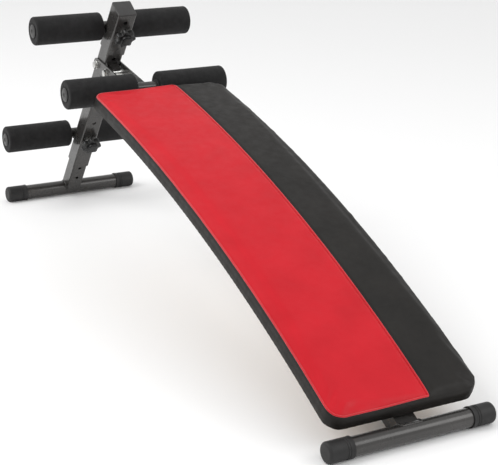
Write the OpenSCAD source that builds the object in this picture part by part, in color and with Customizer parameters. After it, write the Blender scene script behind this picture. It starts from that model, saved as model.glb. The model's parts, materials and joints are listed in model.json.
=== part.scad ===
// Decline sit-up bench: a curved padded board on a single rail, a leaning rear
// post with a telescoping leg, and three pairs of foam rollers that hold the legs.
// X is the width, +Y runs from the low front foot to the rear foot, +Z is up.
// The origin is on the floor, midway between the two feet.

/* [Stance] */
// Length of each foot bar over its caps
foot_len = 376; // [300:2:440]
// Lean of the rear post from vertical, in degrees
post_lean = 33.5; // [28:0.5:38]

/* [Pad] */
// Straight length of the padded board, end to end
pad_len = 1152; // [950:1:1384]
// Width of the padded board
pad_w = 341; // [280:1:410]
// Rise of the curved board above the straight line between its ends
pad_sag = 45.5; // [36:0.5:55]
// Distance from the rear foot bar forward to the head of the pad
pad_setback = 563; // [550:0.5:620]
// Height of the pad's top surface at its head
pad_head_z = 437.5; // [425:0.5:450]
// Height of the pad's top surface at its low end
pad_front_z = 79.5; // [76:0.5:86]
// Thickness of the wooden board
board_t = 12; // [9:1:18]
// Thickness of the foam and cover on top of the board
cushion_t = 21; // [14:1:40]
// Thickness of the cover that wraps the board's edges
cover_t = 3; // [2:0.5:6]
// Corner radius of the pad
pad_corner_r = 34; // [10:1:60]

/* [Rail] */
// Depth of the rail tube and of the side brackets
rail_h = 36; // [28:1:50]
// Wall of the rail tube
rail_wall = 2; // [1.5:0.5:4]
// Straight length of the rail behind the pad
rail_tail = 161; // [150:1:190]
// Height of the cross bars between rail and board
bar_h = 7; // [4:1:14]
// Width of a cross bar along the rail
bar_w = 30; // [20:1:50]
// Length of a cross bar
bar_len = 230; // [150:5:270]

/* [Post] */
// Outer size of the square post tube
post_size = 45; // [38:1:60]
// Wall of the post tube
post_wall = 2; // [1.5:0.5:3]
// Height of the lower end of the post tube, measured along the post
post_from = 110; // [90:1:140]
// Length of the post tube above the fold pivot
post_above = 168; // [150:1:220]
// Wall of the telescoping leg
leg_wall = 2; // [1.5:0.5:3]
// Length of the leg inside the post tube
leg_inside = 220; // [200:5:240]
// Gap on each side between tubes that slide in each other
slide_gap = 0.5; // [0.3:0.1:1]

/* [Head] */
// Wall of the sliding head sleeve
sleeve_wall = 2; // [1.5:0.5:3]
// Distance from the fold pivot up to the sleeve
sleeve_gap = 63; // [56:1:80]
// Length of the sleeve
sleeve_len = 137; // [128:1:180]
// Thickness of the sleeve's plastic cap
head_cap_t = 4; // [2:0.5:8]

/* [Brackets] */
// Thickness of a side bracket plate
plate_t = 3; // [2:0.5:6]
// Distance of the fold pivot behind the post's centre line
pivot_back = 8; // [0:1:12]
// Distance from the fold pivot to the stop bolt
stop_reach = 61; // [56:1:75]
// Diameter of the pivot and stop bolts
bolt_d = 10; // [8:1:12]
// Outer diameter of the spacer on the stop bolt
spacer_d = 16; // [14:1:22]

/* [Rollers] */
// Diameter of a foam roller
foam_d = 71; // [60:1:90]
// Length of a foam roller
foam_len = 178; // [140:0.5:200]
// Gap from the side of the head sleeve to the inner end of a roller
roller_gap = 7; // [5:1:16]
// Outer diameter of the axle tubes
axle_d = 25; // [20:1:28]
// Wall of the axle tubes
axle_wall = 2; // [1.5:0.5:3]
// Wall of the plastic core inside each foam roller
core_wall = 3.5; // [2:0.5:6]
// Radial running gap between a core and its axle
run_gap = 0.08; // [0.05:0.01:0.1]
// Distance of the top axle above the sleeve's lower end
top_axle_up = 46; // [30:1:80]
// Distance of the lower axle above the post tube's lower end
low_axle_up = 76; // [50:1:120]
// Stand-off between the post and the lower axle
low_standoff = 6; // [3:1:12]
// Distance of the middle axle behind the pad's head, along the rail
mid_axle_at = 58.5; // [50:0.5:80]

/* [Feet] */
// Diameter of the foot bars
foot_d = 38; // [32:1:50]
// Wall of the foot bars
foot_wall = 2; // [1.5:0.5:3]
// Thickness of a rubber cap's side
cap_wall = 2.5; // [2:0.5:5]
// Thickness of a rubber cap's closed end
cap_end = 4; // [3:0.5:8]
// Length of a rubber cap
cap_len = 54; // [35:1:80]
// Depth of the flat on the underside of a rubber cap
cap_flat = 1; // [0.5:0.1:1.5]

/* [Knobs] */
// Diameter of a star knob over its lobes
knob_d = 54; // [44:1:64]
// Thickness of a star knob
knob_h = 22; // [16:1:30]
// Number of lobes
knob_lobes = 7; // [5:1:9]
// Diameter of the clamp screws
stud_d = 10; // [8:1:12]
// Distance of the top clamp screw above the sleeve's lower end
top_knob_up = 80; // [60:1:100]
// Distance of the lower clamp screw above the post tube's lower end
low_knob_up = 110; // [80:1:130]
// Pitch of the adjustment holes
hole_pitch = 40; // [30:5:50]
// Diameter of the adjustment holes
hole_d = 9; // [6:1:12]

/* [Hidden] */
$fn = 96;

// Small gap that keeps pieces of different bodies from touching
clear = 0.3;
// Extra length of a cutting shape past the surface it cuts
over = 1;
// Steps in a full turn of the pad's arc, whose radius is several metres
arc_steps = 1440;
LEFT = -1;
RIGHT = 1;

steel = "#4b4b4d";
steel_light = "#77777a";
zinc = "silver";
foam = "#26262a";
plastic = "#1c1c1e";
grey_plastic = "#8b8b8c";
vinyl_red = "#c8202e";
wood = "burlywood";

// Feet
cap_r = foot_d / 2 + cap_wall;
foot_z = cap_r - cap_flat;
foot_bar_len = foot_len - 2 * cap_end;

// Pad: an arc of radius pad_r about a centre line parallel to X
pad_t = board_t + cushion_t;
pad_r = (pow(pad_len / 2, 2) + pow(pad_sag, 2)) / (2 * pad_sag);
pad_half = asin(pad_len / 2 / pad_r);
pad_tilt = asin((pad_head_z - pad_front_z) / pad_len);
head_angle = 90 + pad_tilt - pad_half;
foot_angle = 90 + pad_tilt + pad_half;
arc_z = pad_head_z - pad_r * sin(head_angle);
board_r = pad_r - pad_t;

// Rail: concentric with the pad, then straight behind the pad's head
rail_w = post_size + 2 * slide_gap;
rail_r = board_r - bar_h;
// The rail's lower edge ends this far above the floor, and the front foot bar bites this deep
rail_ground = 2.5;
bar_bite = 2.5;
rail_end_angle = 180 - asin((rail_ground - arc_z) / (rail_r - rail_h));
// Distance from the rear foot bar forward to the arc's centre, then the stance itself
arc_setback = pad_setback + pad_r * cos(head_angle);
foot_span = arc_setback - (rail_r - rail_h / 2) * cos(rail_end_angle) + foot_d / 2 - bar_bite;
rear_y = foot_span / 2;
front_y = -foot_span / 2;
arc_y = rear_y - arc_setback;
pad_head_y = rear_y - pad_setback;
rail_slope = head_angle - 90;
rail_y = arc_y + rail_r * cos(head_angle);
rail_z = arc_z + rail_r * sin(head_angle);
bar_angles = [for (share = [0.12, 0.5, 0.86]) head_angle + share * 2 * pad_half];
bar_span = bar_w / board_r * 180 / PI;
screw_d = 5;
screw_head_d = 12;
screw_head_t = 3;
screw_x = bar_len / 2 - 22;

// Tubes that slide in each other
leg_size = post_size - 2 * post_wall - 2 * slide_gap;
sleeve_size = post_size + 2 * slide_gap + 2 * sleeve_wall;
roller_from = sleeve_size / 2 + roller_gap;
tube_corner = 4;

// Heights along the post: the fold pivot lies on the rail's centre line
pivot_at = (-rail_h / 2 - to_rail(post_point(pivot_back, 0))[1]) / cos(post_lean - rail_slope);
post_to = pivot_at + post_above;
sleeve_from = pivot_at + sleeve_gap;
sleeve_to = sleeve_from + sleeve_len;
top_axle_at = sleeve_from + top_axle_up;
top_knob_at = sleeve_from + top_knob_up;
low_axle_at = post_from + low_axle_up;
low_knob_at = post_from + low_knob_up;
leg_to = post_from + leg_inside;

// Brackets, in the rail's own frame: Y along the rail, Z up from its top face
plate_x = rail_w / 2;
pivot = to_rail(post_point(pivot_back, pivot_at));
stop = [pivot[0] - stop_reach, pivot[1]];
plate_from = rail_tail - 60;
bolt_head_d = bolt_d * 1.8;
bolt_head_t = bolt_d * 0.6;
washer_d = bolt_d * 2.2;
washer_t = 1.5;
bolt_x = plate_x + plate_t;
lug_w = 24;
lug_t = 8;

// Rollers and axles
core_d = axle_d + 2 * run_gap + 2 * core_wall;
axle_len = 2 * (roller_from + foam_len + clear);
collar_t = 4;
collar_d = core_d + 2;
plug_d = 34;
plug_t = 3;
plug_depth = 16;
saddle_w = 30;
saddle_rim = 4;
top_axle_back = sleeve_size / 2 + axle_d / 2;
low_axle_back = post_size / 2 + low_standoff + axle_d / 2;

// Knobs and clamp screws
boss_d = 20;
boss_t = 8;
lobe_d = knob_d * 0.3;
knob_hub_d = knob_d * 0.74;
knob_collar_d = 22;
knob_collar_t = 4;
stud_in_knob = 14;
knob_gap = 0.1;

// Place on the post's side plane, as [y, z], from a distance behind it and along it
function post_point(back, along) = [
    rear_y + back * cos(post_lean) - along * sin(post_lean),
    foot_z + back * sin(post_lean) + along * cos(post_lean)];

// The same place in the rail's frame, as [along the rail, above its top face]
function to_rail(p) = [
    (p[0] - rail_y) * cos(rail_slope) + (p[1] - rail_z) * sin(rail_slope),
    (p[1] - rail_z) * cos(rail_slope) - (p[0] - rail_y) * sin(rail_slope)];

// Frames: their children are drawn in local coordinates
module post_frame() {
    translate([0, rear_y, foot_z]) rotate([post_lean, 0, 0]) children();
}

module rail_frame() {
    translate([0, rail_y, rail_z]) rotate([rail_slope, 0, 0]) children();
}

// Frame on a circle about the pad's centre: Z points outwards
module arc_frame(angle, r) {
    translate([0, arc_y, arc_z]) rotate([angle - 90, 0, 0]) translate([0, 0, r]) children();
}

// Curved bar of rectangular section about the pad's centre
module arc_band(r_in, r_out, w, from_angle, to_angle) {
    translate([0, arc_y, arc_z]) rotate([90, 0, 90]) rotate([0, 0, from_angle])
        rotate_extrude(angle = to_angle - from_angle, $fn = arc_steps)
            translate([r_in, -w / 2]) square([r_out - r_in, w]);
}

// Square with rounded corners, centred
module rounded_square(w, d, r) {
    square([w - 2 * r, d], center = true);
    square([w, d - 2 * r], center = true);
    for (x = [-1, 1], y = [-1, 1])
        translate([x * (w / 2 - r), y * (d / 2 - r)]) circle(r);
}

// Square tube along Z
module square_tube(size, wall, from, to) {
    translate([0, 0, from]) linear_extrude(to - from) difference() {
        rounded_square(size, size, tube_corner);
        rounded_square(size - 2 * wall, size - 2 * wall, tube_corner - wall);
    }
}

// Round bar along X, centred or from x = from to x = to
module x_bar(d, from, to) {
    translate([from, 0, 0]) rotate([0, 90, 0]) cylinder(d = d, h = to - from);
}

// Round tube along X
module x_tube(d, bore, from, to) {
    difference() {
        x_bar(d, from, to);
        x_bar(bore, from - over, to + over);
    }
}

// Round hole or pin along the post's depth, from depth 'from' to depth 'to' ahead of the post
module front_bar(d, from, to) {
    translate([0, -from, 0]) rotate([90, 0, 0]) cylinder(d = d, h = to - from);
}

// ---- Rail and feet ----

module rail_solid(inset, tail) {
    arc_band(rail_r - rail_h + inset, rail_r - inset, rail_w - 2 * inset,
        head_angle, rail_end_angle);
    rail_frame() translate([-rail_w / 2 + inset, 0, -rail_h + inset])
        cube([rail_w - 2 * inset, tail, rail_h - 2 * inset]);
}

module main_rail() {
    color(steel) difference() {
        rail_solid(0, rail_tail);
        rail_solid(rail_wall, rail_tail + over);
        translate([0, front_y, foot_z]) x_bar(foot_d, -rail_w, rail_w);
    }
}

module rail_plug() {
    color(plastic) rail_frame() {
        translate([-rail_w / 2, rail_tail, -rail_h]) cube([rail_w, plug_t, rail_h]);
        translate([-rail_w / 2 + rail_wall, rail_tail - plug_depth, -rail_h + rail_wall])
            cube([rail_w - 2 * rail_wall, plug_depth, rail_h - 2 * rail_wall]);
    }
}

module bracket(side) {
    color(steel_light) rail_frame() difference() {
        translate([side * (plate_x + plate_t / 2) - plate_t / 2, 0, 0]) {
            translate([0, plate_from, -rail_h]) cube([plate_t, pivot[0] - plate_from, rail_h]);
            translate([0, pivot[0], -rail_h / 2]) x_bar(rail_h, 0, plate_t);
        }
        for (hole = [pivot, stop])
            translate([0, hole[0], hole[1]]) x_bar(bolt_d + 2 * run_gap, -bolt_x - over, bolt_x + over);
    }
}

module foot_bar(y) {
    color(steel) translate([0, y, foot_z])
        x_tube(foot_d, foot_d - 2 * foot_wall, -foot_bar_len / 2, foot_bar_len / 2);
}

module foot_cap(y, side) {
    color(plastic) translate([0, y, foot_z]) scale([side, 1, 1]) difference() {
        x_bar(2 * cap_r, foot_len / 2 - cap_len, foot_len / 2);
        x_bar(foot_d, foot_len / 2 - cap_len - over, foot_bar_len / 2);
        translate([0, -cap_r, -cap_r - foot_z]) cube([foot_len, 2 * cap_r, cap_r]);
    }
}

// ---- Pad ----

module screw_places() {
    for (angle = bar_angles, side = [-1, 1])
        arc_frame(angle, board_r) translate([side * screw_x, 0, 0]) children();
}

module cross_bar(angle) {
    color(steel) difference() {
        arc_band(rail_r, board_r, bar_len, angle - bar_span / 2, angle + bar_span / 2);
        screw_places() translate([0, 0, -bar_h - over])
            cylinder(d = screw_d, h = bar_h + 2 * over);
    }
}

// Outline of the pad seen from above, held back by 'inset' all round
module pad_outline(inset) {
    translate([0, pad_head_y, pad_head_z]) rotate([pad_tilt, 0, 0])
        translate([0, -pad_len / 2, -pad_t * 3]) linear_extrude(pad_t * 6)
            rounded_square(pad_w - 2 * inset, pad_len - 2 * inset, pad_corner_r - inset);
}

module pad_board() {
    color(wood) difference() {
        intersection() {
            arc_band(board_r, board_r + board_t, pad_w + over, head_angle - 1, foot_angle + 1);
            pad_outline(cover_t);
        }
        screw_places() cylinder(d = screw_d, h = board_t * 0.8);
    }
}

module pad_cushion() {
    color(vinyl_red) difference() {
        intersection() {
            arc_band(board_r, pad_r, pad_w + over, head_angle - 1, foot_angle + 1);
            pad_outline(0);
        }
        intersection() {
            arc_band(board_r - over, board_r + board_t, pad_w + over, head_angle - 1, foot_angle + 1);
            pad_outline(cover_t);
        }
    }
}

module pad_screws() {
    color(zinc) screw_places() {
        translate([0, 0, -bar_h]) cylinder(d = screw_d, h = bar_h + board_t * 0.8);
        translate([0, 0, -bar_h - screw_head_t]) cylinder(d = screw_head_d, h = screw_head_t);
    }
}

// ---- Axles, which are drawn along X in the frame that places them ----

module axle() {
    color(steel) x_tube(axle_d, axle_d - 2 * axle_wall, -axle_len / 2, axle_len / 2);
}

module collars() {
    color(plastic) for (side = [-1, 1]) scale([side, 1, 1])
        x_tube(collar_d, axle_d, roller_from - clear - collar_t, roller_from - clear);
}

module plugs() {
    color(grey_plastic) for (side = [-1, 1]) scale([side, 1, 1]) {
        x_bar(plug_d, axle_len / 2, axle_len / 2 + plug_t);
        x_bar(axle_d - 2 * axle_wall, axle_len / 2 - plug_depth, axle_len / 2);
    }
}

// Block that seats an axle; its flat side lies 'depth' below the axle's centre
module saddle(depth) {
    side = axle_d / 2 + saddle_rim;
    color(steel) difference() {
        translate([-saddle_w / 2, -side, -depth]) cube([saddle_w, 2 * side, depth]);
        x_bar(axle_d, -saddle_w, saddle_w);
    }
}

module top_axle_place() {
    post_frame() translate([0, top_axle_back, top_axle_at]) children();
}

module middle_axle_place() {
    rail_frame() translate([0, mid_axle_at, axle_d / 2]) children();
}

module lower_axle_place() {
    post_frame() translate([0, low_axle_back, low_axle_at]) children();
}

module lower_saddle() {
    lower_axle_place() rotate([-90, 0, 0]) saddle(low_axle_back - post_size / 2);
}

module top_saddle() {
    top_axle_place() rotate([-90, 0, 0]) saddle(top_axle_back - sleeve_size / 2);
}

module foam_roller(side) {
    color(foam) scale([side, 1, 1])
        x_tube(foam_d, core_d, roller_from, roller_from + foam_len);
}

module roller_core(side) {
    color(plastic) scale([side, 1, 1])
        x_tube(core_d, axle_d + 2 * run_gap, roller_from, roller_from + foam_len);
}

// ---- Bolts through the brackets ----

module cross_bolt(place) {
    color(zinc) rail_frame() translate([0, place[0], place[1]]) {
        x_bar(bolt_d, -bolt_x, bolt_x + washer_t + bolt_head_t + 3);
        translate([-bolt_x, 0, 0]) rotate([0, -90, 0]) cylinder(d = washer_d, h = washer_t);
        translate([-bolt_x - washer_t, 0, 0]) rotate([0, -90, 0])
            cylinder(d = bolt_head_d, h = bolt_head_t, $fn = 6);
    }
}

module cross_nut(place) {
    color(zinc) rail_frame() translate([0, place[0], place[1]]) difference() {
        union() {
            x_bar(washer_d, bolt_x, bolt_x + washer_t);
            translate([bolt_x + washer_t, 0, 0]) rotate([0, 90, 0])
                cylinder(d = bolt_head_d, h = bolt_head_t, $fn = 6);
        }
        x_bar(bolt_d, 0, bolt_x + washer_t + bolt_head_t + over);
    }
}

module stop_spacer() {
    color(zinc) rail_frame() translate([0, stop[0], stop[1]])
        x_tube(spacer_d, bolt_d, -plate_x, plate_x);
}

// ---- Post ----

module post_tube() {
    color(steel) post_frame() difference() {
        square_tube(post_size, post_wall, post_from, post_to);
        translate([0, pivot_back, pivot_at]) x_bar(bush_d(), -post_size, post_size);
        for (at = [low_knob_at, low_knob_at + 1.7 * hole_pitch, sleeve_from - hole_pitch * 0.4,
                top_knob_at - hole_pitch, top_knob_at])
            translate([0, 0, at]) front_bar(hole_d + 2, 0, post_size);
    }
}

function bush_d() = bolt_d + 2 * run_gap + 6;

module pivot_bush() {
    color(plastic) post_frame() translate([0, pivot_back, pivot_at])
        x_tube(bush_d(), bolt_d + 2 * run_gap, -post_size / 2, post_size / 2);
}

module post_plug() {
    color(plastic) post_frame() tube_plug(post_size, post_wall, post_to);
}

// Plastic plug in the upper end of a square tube
module tube_plug(size, wall, at) {
    translate([0, 0, at]) linear_extrude(plug_t) rounded_square(size, size, tube_corner);
    inner = size - 2 * wall;
    translate([0, 0, at - plug_depth]) linear_extrude(plug_depth)
        rounded_square(inner, inner, tube_corner - wall);
}

module stop_lug() {
    color(steel_light) difference() {
        rail_frame() translate([-lug_w / 2, stop[0] - spacer_d / 2, stop[1] + spacer_d / 2 + clear / 2])
            cube([lug_w, stop_reach, lug_t]);
        post_frame() translate([-post_size / 2, -post_size / 2, post_from])
            cube([post_size, post_size * 3, post_to - post_from]);
    }
}

module boss(face, at) {
    color(zinc) post_frame() translate([0, 0, at]) difference() {
        front_bar(boss_d, face, face + boss_t);
        front_bar(stud_d + 2 * run_gap, face - over, face + boss_t + over);
    }
}

// ---- Leg ----

module leg_tube() {
    color(steel) difference() {
        post_frame() difference() {
            square_tube(leg_size, leg_wall, 0, leg_to);
            for (at = [low_knob_at - 4 * hole_pitch : hole_pitch : leg_to - hole_pitch / 2])
                translate([0, 0, at]) front_bar(hole_d, 0, post_size);
        }
        translate([0, rear_y, foot_z]) x_bar(foot_d, -leg_size, leg_size);
    }
}

module leg_plug() {
    color(plastic) post_frame() tube_plug(leg_size, leg_wall, leg_to);
}

// ---- Head ----

module head_sleeve() {
    color(steel) post_frame() difference() {
        square_tube(sleeve_size, sleeve_wall, sleeve_from, sleeve_to);
        for (at = [top_knob_at, top_knob_at + 0.8 * hole_pitch])
            translate([0, 0, at]) front_bar(hole_d + 2, 0, sleeve_size);
    }
}

module head_cap() {
    inner = sleeve_size - 2 * sleeve_wall;
    color(grey_plastic) post_frame() {
        translate([0, 0, sleeve_to]) linear_extrude(head_cap_t)
            rounded_square(sleeve_size, sleeve_size, tube_corner);
        translate([0, 0, sleeve_to - head_cap_t]) linear_extrude(head_cap_t)
            rounded_square(inner, inner, tube_corner - sleeve_wall);
    }
}

// ---- Clamp screws and knobs: 'tip' is where the screw ends, 'face' is the tube's face ----

module stud(tip, face, at) {
    color(zinc) post_frame() translate([0, 0, at])
        front_bar(stud_d, tip, face + boss_t + knob_collar_t + stud_in_knob);
}

// Outline of a star knob: a hub with round lobes, and room for its screw
module knob_outline() {
    difference() {
        union() {
            circle(d = knob_hub_d);
            for (turn = [0 : knob_lobes - 1])
                rotate(turn * 360 / knob_lobes) translate([0, knob_d / 2 - lobe_d / 2])
                    circle(d = lobe_d);
        }
        circle(d = stud_d + 2 * knob_gap);
    }
}

module star_knob(face, at) {
    blind = stud_in_knob;
    color(plastic) post_frame() translate([0, -face - boss_t, at]) rotate([90, 0, 0]) {
        difference() {
            translate([0, 0, clear]) cylinder(d = knob_collar_d, h = knob_collar_t - clear);
            translate([0, 0, -over]) cylinder(d = stud_d + 2 * knob_gap, h = knob_collar_t + 2 * over);
        }
        translate([0, 0, knob_collar_t]) linear_extrude(blind) knob_outline();
        translate([0, 0, knob_collar_t + blind])
            cylinder(d = knob_hub_d, h = knob_h - blind);
    }
}

main_rail();
rail_plug();
bracket(LEFT);  // bracket_left
bracket(RIGHT);  // bracket_right
foot_bar(front_y);  // front_foot_bar
foot_cap(front_y, LEFT);  // front_cap_left
foot_cap(front_y, RIGHT);  // front_cap_right
cross_bar(bar_angles[0]);  // rear_cross_bar
cross_bar(bar_angles[1]);  // middle_cross_bar
cross_bar(bar_angles[2]);  // front_cross_bar
pad_board();
pad_cushion();
pad_screws();
middle_axle_place() saddle(axle_d / 2);  // middle_saddle
middle_axle_place() axle();  // middle_axle
middle_axle_place() collars();  // middle_collars
middle_axle_place() plugs();  // middle_plugs
cross_bolt(stop);  // stop_bolt
cross_nut(stop);  // stop_nut
stop_spacer();
cross_bolt(pivot);  // pivot_bolt
cross_nut(pivot);  // pivot_nut
post_tube();
post_plug();
pivot_bush();
stop_lug();
lower_saddle();
lower_axle_place() axle();  // lower_axle
lower_axle_place() collars();  // lower_collars
lower_axle_place() plugs();  // lower_plugs
boss(post_size / 2, low_knob_at);  // lower_boss
leg_tube();
leg_plug();
foot_bar(rear_y);  // rear_foot_bar
foot_cap(rear_y, LEFT);  // rear_cap_left
foot_cap(rear_y, RIGHT);  // rear_cap_right
head_sleeve();
head_cap();
boss(sleeve_size / 2, top_knob_at);  // top_boss
top_saddle();
top_axle_place() axle();  // top_axle
top_axle_place() collars();  // top_collars
top_axle_place() plugs();  // top_plugs
stud(post_size / 2 + clear, sleeve_size / 2, top_knob_at);  // top_stud
star_knob(sleeve_size / 2, top_knob_at);  // top_knob
stud(leg_size / 2 + clear, post_size / 2, low_knob_at);  // lower_stud
star_knob(post_size / 2, low_knob_at);  // lower_knob
top_axle_place() foam_roller(LEFT);  // top_left_foam
top_axle_place() roller_core(LEFT);  // top_left_core
top_axle_place() foam_roller(RIGHT);  // top_right_foam
top_axle_place() roller_core(RIGHT);  // top_right_core
middle_axle_place() foam_roller(LEFT);  // middle_left_foam
middle_axle_place() roller_core(LEFT);  // middle_left_core
middle_axle_place() foam_roller(RIGHT);  // middle_right_foam
middle_axle_place() roller_core(RIGHT);  // middle_right_core
lower_axle_place() foam_roller(LEFT);  // lower_left_foam
lower_axle_place() roller_core(LEFT);  // lower_left_core
lower_axle_place() foam_roller(RIGHT);  // lower_right_foam
lower_axle_place() roller_core(RIGHT);  // lower_right_core
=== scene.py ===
# %% [markdown]
# # A decline sit-up bench
# The frame of this bench is made of steel tubes, and its sizes are settled already. This lesson loads
# that frame and gives it what the eye looks for: a padded board that bulges between its seams, foam
# rollers with rounded ends, moulded knobs and caps, weld beads, and paint that looks sprayed on.
# Every new piece rides on one of the frame's moving bodies.

# %% Load the frame
import json
import math
import bmesh
import bpy
from mathutils import Matrix, Vector, noise
from mathutils.bvhtree import BVHTree


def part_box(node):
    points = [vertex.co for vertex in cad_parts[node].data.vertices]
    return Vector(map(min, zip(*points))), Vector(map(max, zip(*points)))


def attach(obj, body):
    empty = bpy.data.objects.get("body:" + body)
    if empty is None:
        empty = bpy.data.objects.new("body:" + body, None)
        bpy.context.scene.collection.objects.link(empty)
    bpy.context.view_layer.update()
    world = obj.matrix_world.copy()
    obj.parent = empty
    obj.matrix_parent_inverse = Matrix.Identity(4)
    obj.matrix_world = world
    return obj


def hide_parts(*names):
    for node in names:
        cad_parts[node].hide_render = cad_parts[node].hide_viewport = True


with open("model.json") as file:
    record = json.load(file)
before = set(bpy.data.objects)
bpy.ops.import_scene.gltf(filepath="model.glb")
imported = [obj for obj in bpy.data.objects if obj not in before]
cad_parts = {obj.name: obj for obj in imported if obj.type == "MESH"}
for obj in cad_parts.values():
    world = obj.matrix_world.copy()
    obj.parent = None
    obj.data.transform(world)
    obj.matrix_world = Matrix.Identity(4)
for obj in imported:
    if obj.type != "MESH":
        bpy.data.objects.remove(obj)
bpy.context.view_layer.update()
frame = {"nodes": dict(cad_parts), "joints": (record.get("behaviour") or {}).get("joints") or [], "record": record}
joints = {joint["name"]: joint for joint in frame["joints"]}

# %% [markdown]
# ## The camera first
# The view is settled before any piece, so that every later step can be judged in it. The camera stands
# in front and to the left of the bench, looks slightly down, and is rolled by a degree and a half.

# %% Camera
MM = 0.001
CAMERA_AT = Vector((-1.4221, -2.7130, 1.2268))
AZIMUTH, ELEVATION, ROLL = (math.radians(angle) for angle in (29.53, 19.37, 1.55))
SENSOR = 36.0
FOCAL = 101.12


def look_matrix(azimuth, elevation, roll):
    """Rotation of a camera that looks along an azimuth from +Y, down by an elevation."""
    ahead = Vector((math.sin(azimuth) * math.cos(elevation),
                    math.cos(azimuth) * math.cos(elevation), -math.sin(elevation)))
    right = Vector((math.cos(azimuth), -math.sin(azimuth), 0))
    up = right.cross(ahead)
    tilted = right * math.cos(roll) + up * math.sin(roll)
    return Matrix((tilted, tilted.cross(ahead), -ahead)).transposed().to_4x4()


camera_data = bpy.data.cameras.new("camera")
camera_data.lens = FOCAL
camera_data.sensor_width = SENSOR
camera = bpy.data.objects.new("camera", camera_data)
camera.matrix_world = Matrix.Translation(CAMERA_AT) @ look_matrix(AZIMUTH, ELEVATION, ROLL)
bpy.context.collection.objects.link(camera)
bpy.context.scene.camera = camera

# %% [markdown]
# ## A small kit for materials
# Real surfaces are never one flat colour. Each material below is a Principled shader whose colour,
# roughness and bump are fed by noise in Object coordinates, so the pattern is fixed to the piece.
# A few helper functions keep the node trees short and easy to read.


# %% Material helpers
class Finish:
    """A material with its Principled shader, and short calls that add nodes to it."""

    def __init__(self, name):
        self.material = bpy.data.materials.new(name)
        self.material.use_nodes = True
        self.tree = self.material.node_tree
        self.shader = self.tree.nodes["Principled BSDF"]
        self.place = self.tree.nodes.new("ShaderNodeTexCoord")

    def set(self, **values):
        for key, value in values.items():
            self.shader.inputs[key.replace("_", " ")].default_value = value
        return self

    def link(self, source, target):
        self.tree.links.new(source, target)

    def noise(self, scale, detail=4.0, stretch=(1, 1, 1)):
        node = self.tree.nodes.new("ShaderNodeTexNoise")
        node.inputs["Scale"].default_value = scale
        node.inputs["Detail"].default_value = detail
        self.link(self.mapped(stretch), node.inputs["Vector"])
        return node.outputs["Fac"]

    def cells(self, scale):
        node = self.tree.nodes.new("ShaderNodeTexVoronoi")
        node.inputs["Scale"].default_value = scale
        self.link(self.place.outputs["Object"], node.inputs["Vector"])
        return node.outputs["Distance"]

    def mapped(self, stretch):
        node = self.tree.nodes.new("ShaderNodeMapping")
        node.inputs["Scale"].default_value = stretch
        self.link(self.place.outputs["Object"], node.inputs["Vector"])
        return node.outputs["Vector"]

    def attribute_below(self, name, limit):
        """1 where a named attribute of the mesh is below a limit, and 0 elsewhere."""
        source = self.tree.nodes.new("ShaderNodeAttribute")
        source.attribute_name = name
        node = self.tree.nodes.new("ShaderNodeMath")
        node.operation = "LESS_THAN"
        node.inputs[1].default_value = limit
        self.link(source.outputs["Fac"], node.inputs[0])
        return node.outputs[0]

    def ramp(self, source, low, high, start=0.0, end=1.0):
        """Colours, or numbers as greys, from low to high as the source goes from start to end."""
        node = self.tree.nodes.new("ShaderNodeValToRGB")
        for stop, value, at in zip(node.color_ramp.elements, (low, high), (start, end)):
            stop.position = at
            stop.color = (value, value, value, 1) if isinstance(value, float) else (*value, 1)
        self.link(source, node.inputs["Fac"])
        return node.outputs["Color"]

    def mix(self, factor, first, second):
        node = self.tree.nodes.new("ShaderNodeMix")
        node.data_type = "RGBA"
        self.link(factor, node.inputs["Factor"])
        for name, value in (("A", first), ("B", second)):
            self.link(value, [s for s in node.inputs if s.name == name and s.type == "RGBA"][0])
        return [s for s in node.outputs if s.type == "RGBA"][0]

    def colour(self, source):
        self.link(source, self.shader.inputs["Base Color"])
        return self

    def rough(self, source):
        self.link(source, self.shader.inputs["Roughness"])
        return self

    def bump(self, source, depth, strength=1.0):
        node = self.tree.nodes.new("ShaderNodeBump")
        node.inputs["Distance"].default_value = depth
        node.inputs["Strength"].default_value = strength
        self.link(source, node.inputs["Height"])
        if self.shader.inputs["Normal"].links:
            self.link(self.shader.inputs["Normal"].links[0].from_socket, node.inputs["Normal"])
        self.link(node.outputs["Normal"], self.shader.inputs["Normal"])
        return self


# %% [markdown]
# ## Painted and plated metal
# The tubes wear a glossy charcoal powder coat. Powder coat has a faint orange peel, which is a bump of
# slow noise, and dust and handling make it duller in patches. Zinc plate is a metal with cloudy
# roughness. Weld beads are coated with the same paint, so they share its finish.


# %% Metals
def painted(name, low, high, metal, dull):
    finish = Finish(name).set(Metallic=metal, IOR=1.5, Coat_Weight=0.35, Coat_Roughness=0.12)
    cloud = finish.noise(9.0, 5.0)
    finish.colour(finish.ramp(cloud, low, high, 0.3, 0.7))
    finish.rough(finish.ramp(finish.noise(30.0, 6.0), dull - 0.07, dull + 0.07, 0.3, 0.7))
    finish.bump(finish.noise(420.0, 2.0), 0.00025, 0.25)
    return finish.bump(finish.noise(1900.0, 1.0), 0.00008, 0.3).material


def plated(name, tint, dull):
    finish = Finish(name).set(Metallic=1.0)
    cloud = finish.noise(70.0, 5.0)
    finish.colour(finish.ramp(cloud, tuple(c * 0.82 for c in tint), tint, 0.3, 0.7))
    finish.rough(finish.ramp(finish.noise(160.0, 4.0), dull - 0.08, dull + 0.1, 0.3, 0.7))
    return finish.bump(finish.noise(900.0, 2.0), 0.00005, 0.3).material


frame_paint = painted("charcoal_powder_coat", (0.034, 0.032, 0.030), (0.050, 0.047, 0.045), 0.35, 0.27)
zinc = plated("zinc_plate", (0.66, 0.66, 0.64), 0.28)

# %% [markdown]
# ## Moulded plastic, rubber and wood
# Moulded plastic has a fine leathery grain from its mould, and rubber is softer and duller. The board
# under the pad is raw plywood, and noise stretched along one axis gives its grain.


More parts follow.
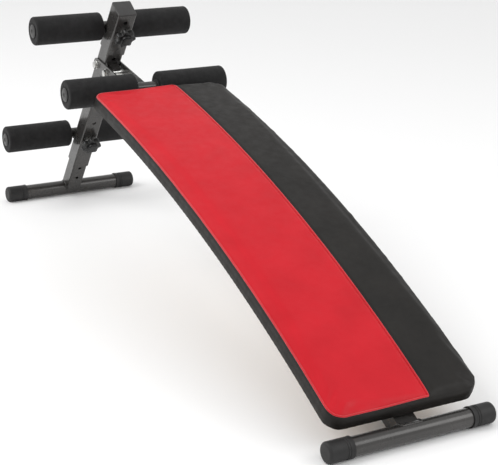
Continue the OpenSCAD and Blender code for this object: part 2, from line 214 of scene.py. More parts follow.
# %% Plastics, rubber, wood
def moulded(name, low, high, dull, grain=0.00012, scale=1400.0):
    finish = Finish(name).set(IOR=1.46)
    finish.colour(finish.ramp(finish.noise(24.0, 5.0), low, high, 0.32, 0.68))
    finish.rough(finish.ramp(finish.noise(60.0, 4.0), dull - 0.06, dull + 0.08, 0.3, 0.7))
    return finish.bump(finish.cells(scale), grain, 0.5).material


def plywood(name):
    finish = Finish(name)
    grain = finish.noise(16.0, 8.0, (9, 0.6, 3))
    finish.colour(finish.ramp(grain, (0.36, 0.22, 0.11), (0.62, 0.44, 0.26), 0.35, 0.65))
    finish.rough(finish.ramp(grain, 0.72, 0.58, 0.3, 0.7))
    return finish.bump(grain, 0.0004, 0.5).material


black_plastic = moulded("black_plastic", (0.012, 0.012, 0.013), (0.022, 0.022, 0.023), 0.42)
knob_plastic = moulded("knob_plastic", (0.006, 0.006, 0.006), (0.012, 0.012, 0.012), 0.36)
grey_plastic = moulded("grey_plastic", (0.028, 0.027, 0.027), (0.042, 0.041, 0.040), 0.40)
cap_rubber = moulded("cap_rubber", (0.0075, 0.0072, 0.0072), (0.0130, 0.0125, 0.0125), 0.55, 0.0002, 900.0)
board_wood = plywood("raw_plywood")

# %% [markdown]
# ## Roller foam
# The rollers are closed-cell foam. Up close it is a matte skin full of pores of two sizes, so the bump
# is two layers of cells. A little sheen lifts the edges, as soft foam does.

# %% Foam
foam_finish = Finish("closed_cell_foam").set(IOR=1.35, Sheen_Weight=0.04, Sheen_Roughness=0.6)
foam_cloud = foam_finish.noise(38.0, 6.0)
foam_dark, foam_pale = (0.0050, 0.0048, 0.0050), (0.0100, 0.0096, 0.0100)
foam_finish.colour(foam_finish.ramp(foam_cloud, foam_dark, foam_pale, 0.3, 0.7))
foam_finish.rough(foam_finish.ramp(foam_finish.noise(90.0, 4.0), 0.74, 0.92, 0.3, 0.7))
foam_finish.bump(foam_finish.cells(620.0), 0.0005, 0.8)
foam_finish.bump(foam_finish.cells(1900.0), 0.0002, 0.6)
roller_foam = foam_finish.material

# %% [markdown]
# ## Finish the frame's own parts
# The tubes, plates and screws of the frame are already right in shape, so they only need a finish. The
# record names a slot for each part, and this table turns slots into the materials above.

# %% Finishes for the frame's parts
FINISHES = {"frame_paint": frame_paint, "zinc": zinc, "black_plastic": black_plastic,
            "knob_plastic": knob_plastic, "grey_plastic": grey_plastic, "cap_rubber": cap_rubber,
            "board_wood": board_wood, "roller_foam": roller_foam}
slots = {part["node"]: part["material_slot"] for part in frame["record"]["subparts"]}
for node, part in frame["nodes"].items():
    part.data.materials.clear()
    part.data.materials.append(FINISHES.get(slots[node], black_plastic))

# %% [markdown]
# ## How a piece is made
# Every piece below starts as a bmesh. `finished` turns one into an object with smooth shading, a
# material, and the body that it rides on. `turned` spins an outline about the X axis, as a lathe does,
# which suits rollers, plugs and caps: their outlines are lists of (place along the axis, radius).


# %% Piece helpers
def finished(name, bm, material, body, replaces=(), sharp=40):
    """Makes an object of a bmesh, smooth except at edges sharper than 'sharp' degrees."""
    bmesh.ops.remove_doubles(bm, verts=bm.verts, dist=1e-6)
    bmesh.ops.recalc_face_normals(bm, faces=bm.faces)
    for face in bm.faces:
        face.smooth = True
    for edge in bm.edges:
        if len(edge.link_faces) == 2:
            edge.smooth = edge.calc_face_angle(0.0) < math.radians(sharp)
    mesh = bpy.data.meshes.new(name)
    bm.to_mesh(mesh)
    bm.free()
    piece = bpy.data.objects.new(name, mesh)
    bpy.context.collection.objects.link(piece)
    mesh.materials.append(material)
    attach(piece, body)
    if replaces:
        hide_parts(*replaces)
    print(f"{name}: {len(mesh.polygons)} faces, rides on {body}")
    return piece


def turned(bm, outline, centre, steps=72, side=1):
    """Spins an outline of (x, radius) about the X axis through a centre."""
    ring = [bm.verts.new((side * x, 0, radius)) for x, radius in outline]
    edges = [bm.edges.new(pair) for pair in zip(ring, ring[1:])]
    before = set(bm.verts)
    bmesh.ops.spin(bm, geom=ring + edges, cent=(0, 0, 0), axis=(1, 0, 0), dvec=(0, 0, 0),
                            angle=2 * math.pi, steps=steps, use_merge=True, use_duplicate=False)
    made = set(ring) | (set(bm.verts) - before)
    made = [vert for vert in made if vert.is_valid]
    bmesh.ops.translate(bm, verts=made, vec=centre)


def round_corner(x, radius, size, start, steps=5):
    """Points of a quarter circle about (x, radius), from an angle of 'start' degrees."""
    return [(x + size * math.cos(math.radians(start + 90 * k / steps)),
             radius + size * math.sin(math.radians(start + 90 * k / steps))) for k in range(steps + 1)]


def middle(node):
    low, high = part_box(node)
    return (low + high) / 2


# %% [markdown]
# ## Foam rollers
# A foam roller is cut from a long tube of foam, and its ends are rounded over by the mould. A lathe
# outline with rounded corners makes one, with a shallow dish in each end face where the foam has
# settled round its core. The six rollers differ only in the box that they fill.

# %% Foam rollers
FOAM_ROUND = 5 * MM
DISH = 1.5 * MM


def foam_roller(place, side_name):
    node = f"{place}_{side_name}_foam"
    low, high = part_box(node)
    core_low, core_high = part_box(f"{place}_{side_name}_core")
    centre = (low + high) / 2
    half, radius = (high.x - low.x) / 2, (high.z - low.z) / 2
    bore = (core_high.z - core_low.z) / 2
    outline = [(-half + DISH, bore)]
    outline += [(-half, bore + 6 * MM)]
    outline += round_corner(-half + FOAM_ROUND, radius - FOAM_ROUND, FOAM_ROUND, 90)[::-1]
    outline += [(-half * 0.5, radius), (0, radius), (half * 0.5, radius)]
    outline += round_corner(half - FOAM_ROUND, radius - FOAM_ROUND, FOAM_ROUND, 0)[::-1]
    outline += [(half, bore + 6 * MM), (half - DISH, bore), (-half + DISH, bore)]
    bm = bmesh.new()
    turned(bm, outline, centre)
    finished(f"{place}_{side_name}_roller_foam", bm, roller_foam, f"{place}_{side_name}_roller",
             [node], sharp=60)


for place in ("top", "middle", "lower"):
    for side_name in ("left", "right"):
        foam_roller(place, side_name)

# %% [markdown]
# ## Axle end plugs
# A grey plastic plug closes each end of an axle and keeps its roller on. Its face is a shallow dome
# with a round dimple in the middle, so the outline goes down into the dimple, over the dome and round
# the rim. Both plugs of an axle are one piece, because they ride on the same body.

# %% Axle end plugs
DIMPLE = 5.5 * MM


def end_plugs(place, body):
    node = f"{place}_plugs"
    low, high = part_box(node)
    centre = (low + high) / 2
    end, radius = (high.x - low.x) / 2, (high.z - low.z) / 2
    foam_low, foam_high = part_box(f"{place}_right_foam")
    back = foam_high.x - centre.x + 0.3 * MM
    rise = end - back
    outline = [(end - rise * 0.8, 0), (end - rise * 0.8, DIMPLE * 0.7), (end - rise * 0.3, DIMPLE),
               (end, DIMPLE + 1.2 * MM), (end - rise * 0.1, radius * 0.7),
               (end - rise * 0.35, radius * 0.92), (end - rise * 0.7, radius),
               (back, radius - 0.3 * MM), (back, radius * 0.55),
               (back - 8 * MM, radius * 0.55), (back - 8 * MM, 0)]
    bm = bmesh.new()
    for side in (-1, 1):
        turned(bm, outline, centre, 48, side)
    finished(f"{place}_end_plugs", bm, grey_plastic, body, [node], sharp=35)


for place, body in (("top", "head"), ("middle", "frame"), ("lower", "post")):
    end_plugs(place, body)

# %% [markdown]
# ## Rubber foot caps
# The foot bars end in pushed-on rubber caps. Each has a thick rounded end, two shallow grooves near its
# mouth and a small lip. The underside is pressed flat where it stands on the floor, which is the one
# step that a lathe can't make, so the lowest vertices are lifted to the floor afterwards.


# %% Rubber foot caps
def foot_cap(node, body, side):
    low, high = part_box(node)
    long = high.x - low.x
    radius = (high.y - low.y) / 2
    centre = Vector((low.x if side > 0 else high.x, (low.y + high.y) / 2, high.z - radius))
    skin = radius - 0.5 * MM
    groove = radius - 1.5 * MM
    bore = radius - 2.4 * MM
    outline = [(12 * MM, 0), (12 * MM, bore), (0, bore), (0, radius), (2.5 * MM, radius), (4 * MM, skin)]
    for at in (9 * MM, 14 * MM):
        outline += [(at, skin), (at + 0.8 * MM, groove), (at + 2.2 * MM, groove), (at + 3 * MM, skin)]
    outline += [(long - 7 * MM, skin)]
    outline += round_corner(long - 6 * MM, skin - 6 * MM, 6 * MM, 0)[::-1]
    outline += [(long - 0.6 * MM, radius * 0.4), (long - 0.6 * MM, 0)]
    bm = bmesh.new()
    turned(bm, outline, centre, 64, side)
    for vert in bm.verts:
        vert.co.z = max(vert.co.z, 0.0)
    finished(f"{node}_moulding", bm, cap_rubber, body, [node], sharp=50)


for end_name, body in (("front", "frame"), ("rear", "leg")):
    for side_name, side in (("left", -1), ("right", 1)):
        foot_cap(f"{end_name}_cap_{side_name}", body, side)

# %% [markdown]
# ## Star knobs
# A star knob is a disc whose rim swings in and out once per lobe. A circle's vertices are moved in and
# out by a cosine, the face is extruded to the knob's thickness, and bevels round both rims. A raised
# hub is one inset and one more extrusion. The knob is modelled upright at the origin and then turned
# to point along its screw, which the joint's own axis gives.

# %% Star knobs
LOBES = 7
KNOB_REACH = 27 * MM
KNOB_VALLEY = 19.5 * MM
KNOB_GRIP = 15 * MM
HUB = 15 * MM
HUB_RISE = 6.5 * MM
COLLAR = 11 * MM


def along(axis, place):
    """Matrix that stands +Z along an axis, at a place."""
    return Matrix.Translation(place) @ Vector(axis).to_track_quat("Z", "Y").to_matrix().to_4x4()


def rim_edges(faces):
    return [edge for edge in {e for face in faces for e in face.edges}
            if sum(f in faces for f in edge.link_faces) == 1]


def star_knob(place):
    joint = joints[f"{place}_knob_turn"]
    bm = bmesh.new()
    bmesh.ops.create_circle(bm, cap_ends=True, segments=LOBES * 24, radius=1.0)
    for vert in bm.verts:
        angle = math.atan2(vert.co.y, vert.co.x)
        swing = (0.5 + 0.5 * math.cos(LOBES * angle)) ** 0.8
        reach = KNOB_VALLEY + (KNOB_REACH - KNOB_VALLEY) * swing
        vert.co = vert.co.normalized() * reach + Vector((0, 0, 4 * MM))
    base = bm.faces[:]
    top = bmesh.ops.extrude_face_region(bm, geom=base)
    cap = [g for g in top["geom"] if isinstance(g, bmesh.types.BMFace)]
    bmesh.ops.translate(bm, verts=list({v for f in cap for v in f.verts}), vec=(0, 0, KNOB_GRIP - 1 * MM))
    rims = [e for e in bm.edges if abs(e.verts[0].co.z - e.verts[1].co.z) < 1e-7]
    bmesh.ops.bevel(bm, geom=rims, offset=2.6 * MM, segments=4, profile=0.5, affect="EDGES", material=-1)
    bm.normal_update()
    face = max(bm.faces, key=lambda f: (round(f.calc_center_median().z, 5), f.calc_area()))
    bmesh.ops.inset_region(bm, faces=[face], thickness=2.0 * MM, use_even_offset=True)
    for vert in face.verts:
        flat = Vector((vert.co.x, vert.co.y, 0))
        vert.co = flat.normalized() * HUB + Vector((0, 0, vert.co.z))
    hub = bmesh.ops.extrude_face_region(bm, geom=[face])
    dome = [g for g in hub["geom"] if isinstance(g, bmesh.types.BMFace)]
    bmesh.ops.translate(bm, verts=list({v for f in dome for v in f.verts}), vec=(0, 0, HUB_RISE))
    bmesh.ops.delete(bm, geom=[face], context="FACES_ONLY")
    bmesh.ops.bevel(bm, geom=rim_edges(dome), offset=2.2 * MM, segments=4, profile=0.5,
                    affect="EDGES", material=-1)
    collar = bmesh.ops.create_cone(bm, cap_ends=True, segments=40, radius1=COLLAR, radius2=COLLAR + 3 * MM,
                                   depth=4.4 * MM)
    bmesh.ops.translate(bm, verts=collar["verts"], vec=(0, 0, 2.6 * MM))
    bmesh.ops.transform(bm, matrix=along(joint["axis"], joint["pos_m"]), verts=bm.verts)
    finished(f"{place}_star_knob", bm, knob_plastic, f"{place}_knob",
             [f"{place}_knob"], sharp=50)


for place in ("top", "lower"):
    star_knob(place)

# %% [markdown]
# ## The pad's arc
# The pad is a slab bent along an arc. It is far easier to model flat and to bend at the end, so this
# cell recovers the arc from the frame's own pad: the chord between its two ends, the height of its
# crown over that chord, and from both the radius. `bent` then places any flat point, given across the
# pad, along its chord and up through its thickness.

# %% Recover the pad's arc
corners = [vert.co for vert in frame["nodes"]["pad_cushion"].data.vertices]
head = max(corners, key=lambda c: c.z) * Vector((0, 1, 1))
foot = min(corners, key=lambda c: c.y) * Vector((0, 1, 1))
RUN = (foot - head).normalized()
RISE = RUN.cross(Vector((1, 0, 0)))
PAD_MIDDLE = (head + foot) / 2
PAD_LONG = (foot - head).length
SAG = max((c - PAD_MIDDLE).dot(RISE) for c in corners)
PAD_RADIUS = (PAD_LONG ** 2 / 4 + SAG ** 2) / (2 * SAG)
ARC_CENTRE = PAD_MIDDLE - RISE * (PAD_RADIUS - SAG)
PAD_DEEP = -min((c - head).dot(RISE) for c in corners if abs((c - head).dot(RUN)) < MM)
PAD_HALF = max(c.x for c in corners)


def bent(x, s, w):
    """Places a flat point: x across, s along the chord from its middle, w up from the underside."""
    reach = PAD_RADIUS - PAD_DEEP + w
    return ARC_CENTRE + Vector((x, 0, 0)) + RUN * s + RISE * math.sqrt(reach ** 2 - s ** 2)


print(f"pad: radius {PAD_RADIUS:.3f}, {PAD_LONG:.3f} long, {PAD_DEEP:.4f} deep, {2 * PAD_HALF:.3f} wide")

# %% [markdown]
# ## The red panel's outline
# A red panel covers the left part of the pad's top and stops at a seam right of the middle. Its shape
# is a rounded rectangle cut off by a straight line. A signed distance says how far a point is from
# that outline, negative inside. The same function colours the vinyl and lays the piping.

# %% Outline of the red panel
SEAM_X = 46.5 * MM
CORNER = 34 * MM
BORDER = 5 * MM


def from_edge(x, s, inset=0.0):
    """Signed distance of a flat point from the pad's rounded outline, negative inside."""
    across = abs(x) - (PAD_HALF - CORNER)
    along_it = abs(s) - (PAD_LONG / 2 - CORNER)
    outside = math.hypot(max(across, 0), max(along_it, 0))
    return outside + min(max(across, along_it), 0) - (CORNER - inset)


def from_panel(x, s):
    """Signed distance of a flat point from the red panel's outline, negative inside."""
    return max(from_edge(x, s, BORDER), x - SEAM_X)


# %% [markdown]
# ## Cut the pad out flat
# The pad starts a little smaller than it will end, because the next step blows it up. It is one face
# with rounded corners, extruded and bevelled round its top rim, then remeshed into even squares of a
# few millimetres, which the cloth solver needs.


# %% Flat slab
def rounded_outline(half_x, half_y, radius, steps=10):
    points = []
    for sx, sy, start in ((1, 1, 0), (-1, 1, 90), (-1, -1, 180), (1, -1, 270)):
        for k in range(steps + 1):
            angle = math.radians(start + 90 * k / steps)
            points.append((sx * (half_x - radius) + radius * math.cos(angle),
                           sy * (half_y - radius) + radius * math.sin(angle)))
    return points


def evaluated(piece):
    """The mesh of a piece with its modifiers applied."""
    graph = bpy.context.evaluated_depsgraph_get()
    return bpy.data.meshes.new_from_object(piece.evaluated_get(graph))


SHRINK = 0.3 * MM
bm = bmesh.new()
outline = rounded_outline(PAD_HALF - SHRINK, PAD_LONG / 2 - SHRINK, CORNER - SHRINK)
face = bm.faces.new([bm.verts.new((x, y, 0)) for x, y in outline])
lid = bmesh.ops.extrude_face_region(bm, geom=[face])
lid_faces = [g for g in lid["geom"] if isinstance(g, bmesh.types.BMFace)]
bmesh.ops.translate(bm, verts=lid_faces[0].verts, vec=(0, 0, PAD_DEEP - 1.2 * MM))
bmesh.ops.bevel(bm, geom=rim_edges(lid_faces), offset=4 * MM, segments=3, profile=0.5, affect="EDGES",
                material=-1)
bmesh.ops.recalc_face_normals(bm, faces=bm.faces)
slab_mesh = bpy.data.meshes.new("slab")
bm.to_mesh(slab_mesh)
bm.free()
slab = bpy.data.objects.new("slab", slab_mesh)
bpy.context.collection.objects.link(slab)
remesh = slab.modifiers.new("even", "REMESH")
remesh.mode = "VOXEL"
remesh.voxel_size = 6 * MM
slab_mesh = evaluated(slab)
slab.modifiers.clear()
slab.data = slab_mesh
print("slab:", len(slab_mesh.vertices), "vertices")

# %% [markdown]
# ## Blow it up
# Foam under vinyl pushes outwards everywhere except where the cover is held. The cloth solver does the
# same with pressure: the underside and the seam are pinned, and the rest swells for twenty frames.
# A cap keeps any point from moving too far, and one subdivision smooths the result.

# %% Swell the pad as cloth
SWELL_CAP = 2.5 * MM
SWELL_SHARE = Vector((0.25, 0.25, 1))
HELD_BELOW = 13 * MM
SEAM_HELD = 3.4 * MM
SWELL_FRAMES = 20
held = slab.vertex_groups.new(name="held")
held.add([v.index for v in slab.data.vertices
          if v.co.z < HELD_BELOW or abs(v.co.x - SEAM_X) < SEAM_HELD], 1.0, "REPLACE")
cloth = slab.modifiers.new("swell", "CLOTH")
cloth.settings.vertex_group_mass = "held"
cloth.settings.quality = 5
cloth.settings.mass = 0.3
cloth.settings.use_pressure = True
cloth.settings.uniform_pressure_force = 4.0
cloth.settings.effector_weights.gravity = 0.0
cloth.point_cache.frame_end = SWELL_FRAMES
for step in range(1, SWELL_FRAMES + 1):
    bpy.context.scene.frame_set(step)
swollen = evaluated(slab)
slab.modifiers.clear()
slab.vertex_groups.clear()
for vert, moved in zip(slab.data.vertices, swollen.vertices):
    step_out = (moved.co - vert.co) * SWELL_SHARE
    vert.co += step_out * min(1.0, SWELL_CAP / max(step_out.length, 1e-9))
bpy.context.scene.frame_set(1)
print("swollen to", [round(max(v.co[k] for v in slab.data.vertices), 4) for k in range(3)])
smooth = slab.modifiers.new("smooth", "SUBSURF")
smooth.levels = smooth.render_levels = 1
flat_mesh = evaluated(slab)
bpy.data.objects.remove(slab)

# %% [markdown]
# ## Seam, puckers and the wrapped edge
# Detail finer than the squares goes on after the swelling. The seam is pressed into a groove, the
# stretched cover puckers along the edges, and under the board the cover is pulled round in a band that
# leaves the plywood bare in the middle. A last pass bends every vertex onto the arc and keeps the
# distance from the panel as an attribute, so that the colours stay crisp between vertices.

# %% Work the surface and bend it
WRAP = 26 * MM
SEAM_SINK, SEAM_WIDTH = 1.8 * MM, 3.2 * MM
PIPING_SINK, PIPING_WIDTH = 0.9 * MM, 3.0 * MM
PUCKER_OUT, PUCKER_UP, PUCKER_REACH = 1.3 * MM, 0.9 * MM, 17 * MM
distance = flat_mesh.attributes.new("panel", "FLOAT", "POINT")
for vert in flat_mesh.vertices:
    x, s, w = vert.co
    edge = -from_edge(x, s)
    panel = from_panel(x, s)
    if w > PAD_DEEP * 0.55:
        w -= SEAM_SINK * math.exp(-((x - SEAM_X) / SEAM_WIDTH) ** 2)
        w -= PIPING_SINK * math.exp(-(from_edge(x, s, BORDER) / PIPING_WIDTH) ** 2)
    elif w < PAD_DEEP * 0.25:
        panel = 0.05
        if edge > WRAP:
            w = 3 * MM
        else:
            w = min(w, 0.6 * MM) - (1.2 + 0.3 * math.sin(s * 420) * math.cos(x * 390)) * MM
    pucker = noise.noise(Vector((x * 9, s * 34, 0))) + 0.6 * noise.noise(Vector((x * 16, s * 75, 5)))
    near = math.exp(-abs(edge) / PUCKER_REACH) * (1.0 if x > 0 else 0.45)
    x += math.copysign(PUCKER_OUT * pucker * near, x) * (w > PAD_DEEP * 0.25)
    w += PUCKER_UP * pucker * near * (w > PAD_DEEP * 0.4)
    vert.co = bent(x, s, w)
    distance.data[vert.index].value = panel

# %% [markdown]
# ## Vinyl
# The cover is embossed vinyl: a fine leathery grain of small cells over a slow unevenness. One material
# serves both colours, and the attribute from the last step chooses between them.


# %% Vinyl material and the pad itself
def vinyl(name, two_colours, sheen=0.0):
    finish = Finish(name).set(IOR=1.45, Specular_IOR_Level=0.28, Sheen_Weight=sheen)
    cloud = finish.noise(14.0, 5.0)
    black = finish.ramp(cloud, (0.0075, 0.0064, 0.0054), (0.0125, 0.0108, 0.0092), 0.3, 0.7)
    red = finish.ramp(cloud, (0.50, 0.0040, 0.012), (0.56, 0.0065, 0.016), 0.3, 0.7)
    if two_colours:
        finish.colour(finish.mix(finish.attribute_below("panel", 0.0), black, red))
    else:
        finish.colour(red)
    finish.rough(finish.ramp(finish.noise(55.0, 5.0), 0.40, 0.54, 0.3, 0.7))
    finish.bump(finish.noise(26.0, 4.0), 0.0010, 0.2)
    return finish.bump(finish.cells(750.0), 0.00022, 0.6).material


pad_vinyl = vinyl("embossed_vinyl", True)
piping_vinyl = vinyl("piping_vinyl", False, sheen=0.3)
bm = bmesh.new()
bm.from_mesh(flat_mesh)
pad = finished("pad_cover", bm, pad_vinyl, "frame", ["pad_cushion"], sharp=70)

# %% [markdown]
# ## Piping
# A thin raised cord of red vinyl runs round the panel. Its path is the panel's outline, walked in
# steps of a few millimetres and dropped onto the finished pad by casting a ray from above. A ring of
# vertices at every step, joined to the next ring, makes the tube.


# %% Piping round the panel
def swept(bm, path, normals, radius, sides=8, closed=True):
    """A tube along a path, with a normal at each point to keep the rings from twisting."""
    rings = []
    count = len(path)
    for k, (point, up) in enumerate(zip(path, normals)):
        after = path[(k + 1) % count] if closed or k + 1 < count else point
        before = path[k - 1] if closed or k > 0 else point
        tangent = (after - before).normalized()
        side = tangent.cross(up).normalized()
        rings.append([bm.verts.new(point + radius * (side * math.cos(t) + up * math.sin(t)))
                      for t in (2 * math.pi * j / sides for j in range(sides))])
    pairs = list(zip(rings, rings[1:])) + ([(rings[-1], rings[0])] if closed else [])
    for one, two in pairs:
        for j in range(sides):
            bm.faces.new((one[j], one[j - 1], two[j - 1], two[j]))
    if not closed:
        bm.faces.new(rings[0])
        bm.faces.new(reversed(rings[-1]))


def walked(one, two, step):
    """Points between two points, without either end."""
    count = max(int((two - one).length / step), 1)
    return [one.lerp(two, k / count) for k in range(1, count)]


def panel_path(step=4 * MM, nip=3 * MM):
    """The panel's outline: round corners at its left, and nearly square ones at the seam."""
    left, end = BORDER - PAD_HALF, PAD_LONG / 2 - BORDER
    turn = CORNER - BORDER
    path = []
    for x, s, start, radius in ((left + turn, end - turn, 90, turn), (left + turn, turn - end, 180, turn),
                                (SEAM_X - nip, nip - end, 270, nip), (SEAM_X - nip, end - nip, 0, nip)):
        turns = [math.radians(degrees) for degrees in range(start, start + 91, 10)]
        arc = [Vector((x + radius * math.cos(t), s + radius * math.sin(t), 0)) for t in turns]
        if path:
            path += walked(path[-1], arc[0], step)
        path += arc
    return path + walked(path[-1], path[0], step)


skin = BVHTree.FromPolygons([v.co for v in pad.data.vertices], [p.vertices for p in pad.data.polygons])
PIPE = 1.9 * MM
path = []
for flat in panel_path():
    above = bent(flat.x, flat.y, PAD_DEEP + 30 * MM)
    hit = skin.ray_cast(above, -RISE)[0]
    path.append(hit + RISE * PIPE * 0.35)
bm = bmesh.new()
swept(bm, path, [RISE] * len(path), PIPE)
finished("pad_piping", bm, piping_vinyl, "frame", sharp=70)
print("piping:", len(path), "steps")

# %% [markdown]
# ## Bolts with chamfered heads
# Two bolts cross the side plates. A real hexagon has its corners turned off by a chamfer, and it sits on
# a washer. Both start as cylinders: six sides and a bevel on the outer rim make the hexagon, forty sides
# make the washer. A bolt has one at each end and a shank between them.

# %% Hex heads with washers
HEX_ACROSS = 17 * MM
WASHER = 1.6 * MM
PLATE_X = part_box("bracket_right")[1].x


def cylinder(bm, radius, start, length, sides=40):
    """A cylinder that stands on z = start, at the origin."""
    made = bmesh.ops.create_cone(bm, cap_ends=True, segments=sides, radius1=radius, radius2=radius,
                                 depth=length)["verts"]
    bmesh.ops.translate(bm, verts=made, vec=(0, 0, start + length / 2))
    return made


def hexagon(bm, place, axis, thick):
    """A chamfered hexagon on a washer, pointing along an axis from a place."""
    head = cylinder(bm, HEX_ACROSS / math.sqrt(3), WASHER, thick, 6)
    rim = [e for e in {e for v in head for e in v.link_edges} if all(v.co.z > thick for v in e.verts)]
    made = bmesh.ops.bevel(bm, geom=rim, offset=1.3 * MM, segments=2, profile=0.5, affect="EDGES",
                           material=-1)["verts"]
    made += [v for v in head if v.is_valid] + cylinder(bm, HEX_ACROSS * 0.66, 0, WASHER)
    bmesh.ops.transform(bm, matrix=along(axis, place), verts=list(set(made)))


def cross_bolt(name):
    place = middle(f"{name}_bolt") * Vector((0, 1, 1))
    bm = bmesh.new()
    hexagon(bm, place - Vector((PLATE_X, 0, 0)), (-1, 0, 0), 6.5 * MM)
    hexagon(bm, place + Vector((PLATE_X, 0, 0)), (1, 0, 0), 7 * MM)
    shank = cylinder(bm, 5 * MM, -PLATE_X, 2 * PLATE_X + 12 * MM, 24)
    bmesh.ops.transform(bm, matrix=along((1, 0, 0), place), verts=shank)
    finished(f"{name}_bolt_set", bm, zinc, "frame", [f"{name}_bolt", f"{name}_nut"], sharp=30)


for name in ("stop", "pivot"):
    cross_bolt(name)

# %% [markdown]
# ## The cap on the sliding head
# The head is a square sleeve closed by a light grey plastic cap. The cap's size is read from the frame
# along the post's own directions, which the joints give, and its upper rim is rounded by a bevel.

# %% Head cap
POST_UP = Vector(joints["head_slide"]["axis"])
POST_FRONT = Vector(joints["top_screw_advance"]["axis"])
ACROSS = Vector((1, 0, 0))
cap_points = [vert.co for vert in frame["nodes"]["head_cap"].data.vertices]
cap_half = max(p.x for p in cap_points)
cap_top = max(p.dot(POST_UP) for p in cap_points)
front_reach = [p.dot(POST_FRONT) for p in cap_points]
cap_front = (max(front_reach) + min(front_reach)) / 2
CAP_THICK = 4 * MM
bm = bmesh.new()
face = bm.faces.new([bm.verts.new((x, y, 0)) for x, y in rounded_outline(cap_half, cap_half, 4 * MM, 5)])
lid = bmesh.ops.extrude_face_region(bm, geom=[face])
lid_faces = [g for g in lid["geom"] if isinstance(g, bmesh.types.BMFace)]
bmesh.ops.translate(bm, verts=lid_faces[0].verts, vec=(0, 0, CAP_THICK))
bmesh.ops.bevel(bm, geom=rim_edges(lid_faces), offset=2.2 * MM, segments=4, profile=0.5, affect="EDGES",
                material=-1)
plug = bmesh.ops.create_cube(bm, size=1.0)["verts"]
bmesh.ops.scale(bm, verts=plug, vec=(2 * cap_half - 5 * MM, 2 * cap_half - 5 * MM, 6 * MM))
bmesh.ops.translate(bm, verts=plug, vec=(0, 0, -2.9 * MM))
stand = Matrix((ACROSS, POST_UP.cross(ACROSS), POST_UP)).transposed().to_4x4()
base = POST_UP * (cap_top - CAP_THICK) + POST_FRONT * cap_front
bmesh.ops.transform(bm, matrix=Matrix.Translation(base) @ stand, verts=bm.verts)
finished("head_end_cap", bm, grey_plastic, "head", ["head_cap"], sharp=40)

# %% [markdown]
# ## Weld beads
# Where tubes meet they are welded, and a weld is a row of overlapping ripples. Each bead is a tube swept
# along the joint whose radius swells once per ripple. Straight beads run beside each axle, and curved
# ones follow the round foot bars. Each group rides on the body that it belongs to.

# %% Weld beads
BEAD = 2.2 * MM
RIPPLE = 3.3 * MM


def bead(bm, path, up):
    """A rippled bead along points that are a third of a ripple apart."""
    before = len(bm.verts)
    swept(bm, path, [up] * len(path), BEAD, 8, closed=False)
    bm.verts.ensure_lookup_table()
    for k, centre in enumerate(path):
        swell = 0.80 + 0.26 * abs(math.sin(math.pi * k / 3)) + 0.10 * noise.noise(centre * 300)
        swell *= 0.45 if k in (0, len(path) - 1) else 1.0
        for vert in bm.verts[before + 8 * k:before + 8 * k + 8]:
            vert.co = centre + (vert.co - centre) * swell


def straight(one, two):
    count = max(int((two - one).length / (RIPPLE / 3)), 2)
    return [one.lerp(two, k / count) for k in range(count + 1)]


def arc_about_x(centre, radius, towards, span, x):
    """Points round a bar that lies along X, either side of a direction by 'span' degrees."""
    count = int(radius * math.radians(2 * span) / (RIPPLE / 3))
    turns = [math.radians(span * (2 * k / count - 1)) for k in range(count + 1)]
    return [centre + ACROSS * x + Matrix.Rotation(t, 3, "X") @ towards * radius for t in turns]


def axle_beads(place, body, beside, towards, half):
    low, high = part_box(f"{place}_axle")
    centre, radius = (low + high) / 2, (high.z - low.z) / 2
    bm = bmesh.new()
    for side in (-1, 1):
        start = centre + beside * side * radius * 0.98 + towards * radius * 0.66
        bead(bm, straight(start - ACROSS * half, start + ACROSS * half), towards)
    finished(f"{place}_axle_welds", bm, frame_paint, body, sharp=60)


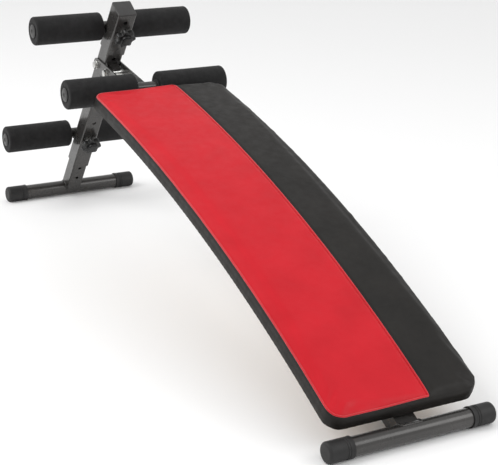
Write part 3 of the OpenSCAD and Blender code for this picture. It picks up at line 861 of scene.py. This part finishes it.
def foot_beads(bar, body, towards, half):
    low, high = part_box(bar)
    centre, radius = (low + high) / 2, (high.z - low.z) / 2
    bm = bmesh.new()
    for side in (-1, 1):
        bead(bm, arc_about_x(centre, radius, towards, 72, side * half), ACROSS)
        edge = centre + Matrix.Rotation(math.radians(74 * side), 3, "X") @ towards * radius
        bead(bm, straight(edge - ACROSS * half, edge + ACROSS * half), towards)
    finished(f"{bar}_welds", bm, frame_paint, body, sharp=60)


axle_beads("top", "head", POST_UP, POST_FRONT, 21 * MM)
axle_beads("lower", "post", POST_UP, POST_FRONT, 19 * MM)
head_run = (bent(0, -PAD_LONG / 2 + 0.1, 0) - bent(0, -PAD_LONG / 2, 0)).normalized()
axle_beads("middle", "frame", head_run, head_run.cross(ACROSS) * -1, 17 * MM)
foot_beads("rear_foot_bar", "leg", POST_UP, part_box("leg_tube")[1].x)
foot_run = (bent(0, PAD_LONG / 2 - 0.1, 0) - bent(0, PAD_LONG / 2, 0)).normalized()
foot_beads("front_foot_bar", "frame", foot_run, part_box("main_rail")[1].x)

# %% [markdown]
# ## Light and floor
# A product like this is shown on a white sweep under large soft lights. A big plane is the floor, the
# world is bright, and two area lights give the tubes their long highlights.

# %% Floor, world and lights
floor_mesh = bmesh.new()
bmesh.ops.create_grid(floor_mesh, x_segments=1, y_segments=1, size=14.0)
floor_data = bpy.data.meshes.new("floor")
floor_mesh.to_mesh(floor_data)
floor_mesh.free()
floor = bpy.data.objects.new("floor", floor_data)
bpy.context.collection.objects.link(floor)
floor_finish = Finish("pale_floor").set(Base_Color=(0.93, 0.93, 0.93, 1), Roughness=0.7)
floor_data.materials.append(floor_finish.material)

world = bpy.data.worlds.new("studio")
world.use_nodes = True
world.node_tree.nodes["Background"].inputs["Color"].default_value = (1, 1, 1, 1)
world.node_tree.nodes["Background"].inputs["Strength"].default_value = 0.85
bpy.context.scene.world = world
bpy.context.scene.view_settings.view_transform = "Standard"


def soft_light(name, at, aim, size, power):
    data = bpy.data.lights.new(name, "AREA")
    data.shape = "RECTANGLE"
    data.size, data.size_y = size
    data.energy = power
    light = bpy.data.objects.new(name, data)
    light.matrix_world = along(Vector(at) - Vector(aim), at)
    bpy.context.collection.objects.link(light)


soft_light("key", (-2.2, 0.6, 2.6), (0, 0, 0.3), (2.4, 1.6), 55)
soft_light("fill", (2.0, -2.4, 2.2), (0, 0, 0.2), (2.5, 1.5), 26)
